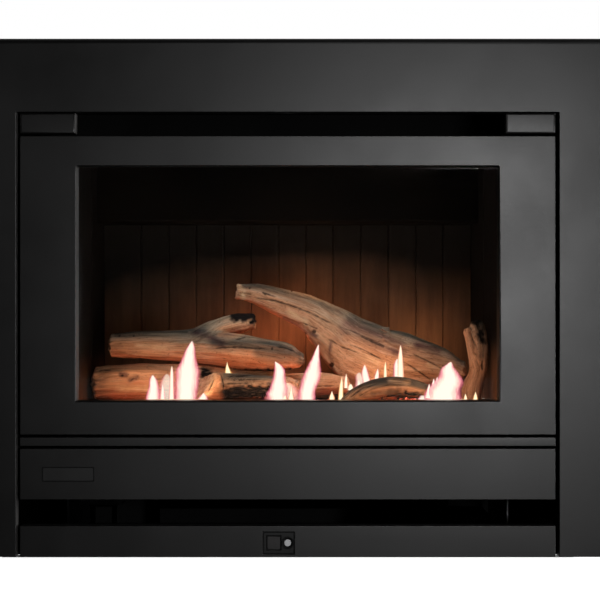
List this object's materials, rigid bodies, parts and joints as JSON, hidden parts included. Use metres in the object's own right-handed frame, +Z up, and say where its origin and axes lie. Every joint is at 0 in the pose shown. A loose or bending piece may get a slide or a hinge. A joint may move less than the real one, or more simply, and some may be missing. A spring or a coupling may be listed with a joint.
{
  "type": "gas log fire",
  "caption": "Built-in glass-fronted gas log fire: folded steel surround, sealed firebox with fibre logs on a burner, convection fan, gas train and rear balanced flue.",
  "frame": {"origin": "on the floor plane, under the middle of the whole fire", "axes": "+X to the right of somebody who faces the fire, +Y from the face into the wall, +Z up"},
  "size_m": [0.963, 0.4122, 0.727],
  "materials": {
    "black_powder_coat": "satin charcoal-black powder coat",
    "matt_black_paint": "matt black",
    "heat_paint": "matt heat-resistant paint",
    "galvanised_sheet": "galvanised",
    "aluminium_sheet": "satin",
    "cast_aluminium": "as cast",
    "brass_pipe": "satin",
    "liner_board": "matt fibre board",
    "log_fibre": "matt painted fibre",
    "ember_fibre": "matt charred",
    "white_ceramic": "glazed",
    "fire_glass": "clear, slightly smoked",
    "rope_gasket": "woven glass rope",
    "black_plastic": "fine texture",
    "dark_lens": "gloss",
    "silver_plastic": "satin silver"
  },
  "bodies": {
    "fire": {"surround": "black_powder_coat", "trim_strip": "black_powder_coat", "bottom_panel": "black_powder_coat", "outlet_block_left": "black_powder_coat", "outlet_block_right": "black_powder_coat", "outlet_roof": "matt_black_paint", "outlet_floor": "matt_black_paint", "switch_plate": "black_plastic", "receiver_window": "dark_lens", "casing_left": "galvanised_sheet", "casing_right": "galvanised_sheet", "casing_base": "galvanised_sheet", "casing_top": "galvanised_sheet", "casing_back": "galvanised_sheet", "firebox_front_frame": "heat_paint", "firebox_floor": "heat_paint", "firebox_top": "heat_paint", "firebox_left": "heat_paint", "firebox_right": "heat_paint", "firebox_back": "heat_paint", "rear_liner": "liner_board", "left_liner": "liner_board", "right_liner": "liner_board", "baffle_hood": "heat_paint", "burner_tray": "heat_paint", "burner_venturi": "heat_paint", "ember_bed": "ember_fibre", "log_rear": "log_fibre", "log_front": "log_fibre", "log_arch": "log_fibre", "log_upright": "log_fibre", "log_diagonal": "log_fibre", "log_forked": "log_fibre", "support_left": "galvanised_sheet", "support_right": "galvanised_sheet", "fan_scroll": "matt_black_paint", "fan_tongue": "matt_black_paint", "fan_end_plate_left": "matt_black_paint", "fan_end_plate_right": "matt_black_paint", "fan_motor": "cast_aluminium", "gas_valve": "cast_aluminium", "valve_bracket": "galvanised_sheet", "gas_inlet_pipe": "brass_pipe", "gas_feed_pipe": "brass_pipe", "spark_electrode": "white_ceramic", "control_box": "black_plastic", "cable_gland": "black_plastic", "flue_pipe": "galvanised_sheet", "flue_collar": "galvanised_sheet", "combustion_air_box": "galvanised_sheet"},
    "glass_front": {"door_frame": "black_powder_coat", "glass_pane": "fire_glass", "glass_gasket": "rope_gasket", "glass_retainer_top": "galvanised_sheet", "glass_retainer_bottom": "galvanised_sheet", "glass_retainer_left": "galvanised_sheet", "glass_retainer_right": "galvanised_sheet"},
    "lower_panel": {"lower_panel": "black_powder_coat"},
    "power_button": {"power_button": "silver_plastic"},
    "fan_rotor": {"fan_rotor": "aluminium_sheet"}
  },
  "joints": [
    {"name": "glass_front_remove", "type": "slide", "parent": "fire", "child": "glass_front", "axis": [0, -1, 0], "range_m": [0, 0.15]},
    {"name": "lower_panel_remove", "type": "slide", "parent": "fire", "child": "lower_panel", "axis": [0, -1, 0], "range_m": [0, 0.12]},
    {"name": "power_button_press", "type": "slide", "parent": "fire", "child": "power_button", "axis": [0, 1, 0], "range_m": [0, 0.0015], "stiffness_N_per_m": 400},
    {"name": "fan_spin", "type": "hinge", "parent": "fire", "child": "fan_rotor", "pos_m": [0, 0.09815, 0.075], "axis": [1, 0, 0], "continuous": true}
  ]
}
